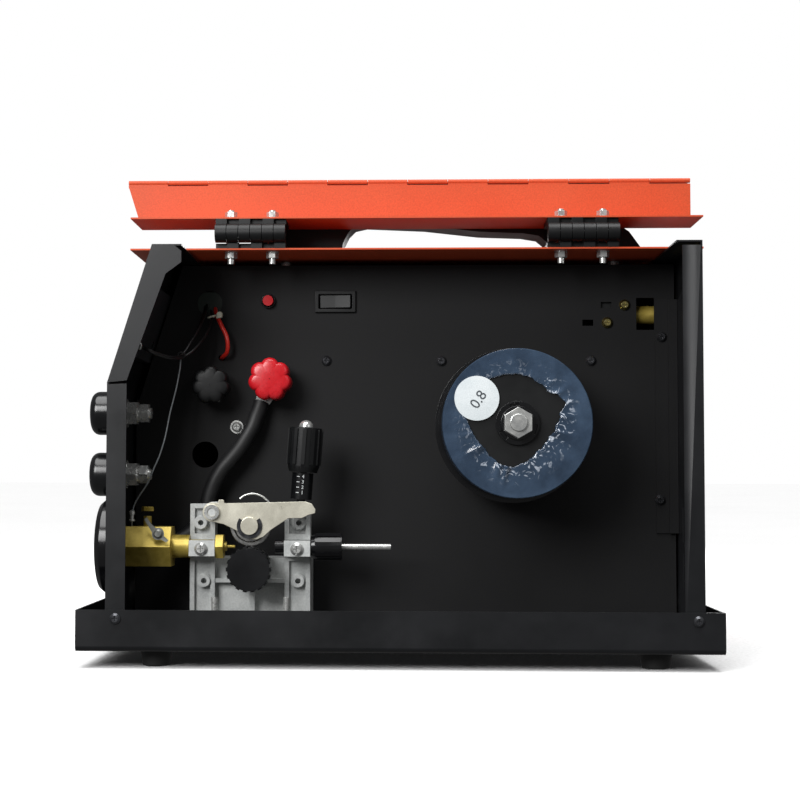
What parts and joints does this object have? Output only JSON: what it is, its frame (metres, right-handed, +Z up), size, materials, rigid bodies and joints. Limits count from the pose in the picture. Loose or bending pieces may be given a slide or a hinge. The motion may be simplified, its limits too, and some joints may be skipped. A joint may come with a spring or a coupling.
{
  "type": "mig welding machine",
  "caption": "Portable welding power source with an open side bay: wire reel, wire feeder, polarity knobs, hinged two-leaf side door, carry handle, front sockets and rear fan.",
  "frame": {"origin": "centre of the base tray's underside, with the feet below it", "axes": "+X from the front panel to the rear panel, +Y from the door side to the far side, +Z up"},
  "size_m": [0.458, 0.3314, 0.3695],
  "materials": {
    "black_paint": "satin black powder coat",
    "orange_paint": "orange-red powder coat",
    "black_plastic": "moulded black",
    "grey_plastic": "moulded dark grey",
    "red_plastic": "moulded red",
    "foot_rubber": "moulded rubber",
    "black_screw": "black zinc",
    "zinc_plate": "zinc plated",
    "yellow_zinc": "yellow-clear zinc plated",
    "bright_steel": "turned steel",
    "cast_alloy": "die cast, as cast",
    "brass": "turned brass",
    "copper_wire": "copper coated steel wire, layer wound",
    "clear_film": "clear film with wrinkles",
    "cable_rubber": "rubber sheath",
    "wire_insulation": "pvc insulation",
    "circuit_board": "coated board",
    "iron_core": "varnished laminations"
  },
  "bodies": {
    "chassis": {"base_tray": "black_paint", "rubber_feet": "foot_rubber", "front_panel": "black_paint", "rear_panel": "black_paint", "top_cover": "orange_paint", "partition": "black_paint", "rear_bracket": "black_paint", "black_screws": "black_screw", "zinc_screws": "zinc_plate", "carry_handle": "black_plastic", "hinge_lower": "black_plastic", "lower_hinge_bolts": "zinc_plate", "control_fascia": "grey_plastic", "output_sockets": "black_plastic", "socket_studs": "zinc_plate", "torch_flange": "black_plastic", "fan_frame": "black_plastic", "power_switch": "black_plastic", "mains_gland": "black_plastic", "gas_valve": "brass", "reel_axle": "zinc_plate", "hub_nut": "bright_steel", "feeder_frame": "cast_alloy", "clamp_blocks": "cast_alloy", "torch_block": "brass", "inlet_guide": "black_plastic", "inlet_tube": "bright_steel", "gear_motor": "bright_steel", "terminal_studs": "brass", "cable_lug": "zinc_plate", "welding_cable": "cable_rubber", "lead_wires": "wire_insulation", "selector_switch": "black_plastic", "button_bezel": "black_plastic", "power_board": "circuit_board", "transformer": "iron_core"},
    "door": {"door_upper": "orange_paint", "hinge_upper": "black_plastic", "hinge_pins": "zinc_plate", "upper_hinge_bolts": "zinc_plate"},
    "door_leaf": {"door_panel": "orange_paint"},
    "latch": {"door_latch": "black_plastic"},
    "current_knob_body": {"current_knob": "black_plastic"},
    "voltage_knob_body": {"voltage_knob": "black_plastic"},
    "fan": {"fan_rotor": "black_plastic"},
    "power_rocker_body": {"power_rocker": "red_plastic"},
    "reel": {"reel_hub": "black_plastic", "wire_spool": "black_plastic", "wire_winding": "copper_wire", "film_wrap": "clear_film"},
    "arm": {"pressure_arm": "yellow_zinc"},
    "idle_roller": {"pressure_roller": "bright_steel"},
    "drive": {"drive_roller": "bright_steel", "drive_knob": "black_plastic"},
    "tension_rod": {"tension_barrel": "black_plastic"},
    "tension_nut": {"tension_knob": "black_plastic"},
    "red_knob_body": {"red_knob": "red_plastic"},
    "black_knob_body": {"black_knob": "black_plastic"},
    "selector_rocker_body": {"selector_rocker": "black_plastic"},
    "button": {"button_cap": "red_plastic"}
  },
  "joints": [
    {"name": "door_hinge", "type": "hinge", "parent": "chassis", "child": "door", "pos_m": [0, -0.052, 0.301], "axis": [1, 0, 0], "range_deg": [0, 180]},
    {"name": "door_fold", "type": "hinge", "parent": "door", "child": "door_leaf", "pos_m": [0, 0.001, 0.3485], "axis": [1, 0, 0], "range_deg": [0, 90]},
    {"name": "latch_turn", "type": "hinge", "parent": "door_leaf", "child": "latch", "pos_m": [-0.078, 0.202, 0.3485], "axis": [0, 0, 1], "range_deg": [0, 90]},
    {"name": "current_knob_turn", "type": "hinge", "parent": "chassis", "child": "current_knob_body", "pos_m": [-0.20117, -0.008, 0.22664], "axis": [-0.9534, 0, 0.3016], "range_deg": [-135, 135]},
    {"name": "voltage_knob_turn", "type": "hinge", "parent": "chassis", "child": "voltage_knob_body", "pos_m": [-0.20117, 0.042, 0.22664], "axis": [-0.9534, 0, 0.3016], "range_deg": [-135, 135]},
    {"name": "fan_spin", "type": "hinge", "parent": "chassis", "child": "fan", "pos_m": [0.2, 0.054, 0.15], "axis": [1, 0, 0], "continuous": true},
    {"name": "power_rocker_tilt", "type": "hinge", "parent": "chassis", "child": "power_rocker_body", "pos_m": [0.213, 0.048, 0.25], "axis": [0, 1, 0], "range_deg": [0, 14]},
    {"name": "reel_spin", "type": "hinge", "parent": "chassis", "child": "reel", "pos_m": [0.084, -0.06, 0.16], "axis": [0, 1, 0], "continuous": true},
    {"name": "arm_pivot", "type": "hinge", "parent": "chassis", "child": "arm", "pos_m": [-0.1354, -0.055, 0.0962], "axis": [0, -1, 0], "range_deg": [0, 40]},
    {"name": "idle_roller_spin", "type": "hinge", "parent": "arm", "child": "idle_roller", "pos_m": [-0.108, -0.048, 0.0862], "axis": [0, 1, 0], "continuous": true},
    {"name": "drive_spin", "type": "hinge", "parent": "chassis", "child": "drive", "pos_m": [-0.108, -0.048, 0.055], "axis": [0, 1, 0], "continuous": true},
    {"name": "tension_swing", "type": "hinge", "parent": "arm", "child": "tension_rod", "pos_m": [-0.072, -0.0466, 0.097], "axis": [0, 1, 0], "range_deg": [0, 60]},
    {"name": "tension_turn", "type": "hinge", "parent": "tension_rod", "child": "tension_nut", "pos_m": [-0.072, -0.0466, 0.097], "axis": [0.0698, 0, 0.9976], "range_deg": [-180, 720]},
    {"name": "red_knob_turn", "type": "hinge", "parent": "chassis", "child": "red_knob_body", "pos_m": [-0.0965, -0.02, 0.1945], "axis": [0, -1, 0], "range_deg": [0, 720]},
    {"name": "black_knob_turn", "type": "hinge", "parent": "chassis", "child": "black_knob_body", "pos_m": [-0.1415, -0.018, 0.1905], "axis": [0, -1, 0], "range_deg": [0, 720]},
    {"name": "selector_tilt", "type": "hinge", "parent": "chassis", "child": "selector_rocker_body", "pos_m": [-0.0486, -0.001, 0.256], "axis": [0, 0, 1], "range_deg": [0, 14]},
    {"name": "button_press", "type": "slide", "parent": "chassis", "child": "button", "axis": [0, 1, 0], "range_m": [0, 0.0018], "stiffness_N_per_m": 400}
  ],
  "couplings": [
    {"joint": "door_fold", "follows": "door_hinge", "ratio": 0.5},
    {"joint": "idle_roller_spin", "follows": "drive_spin", "ratio": -1.0405}
  ]
}
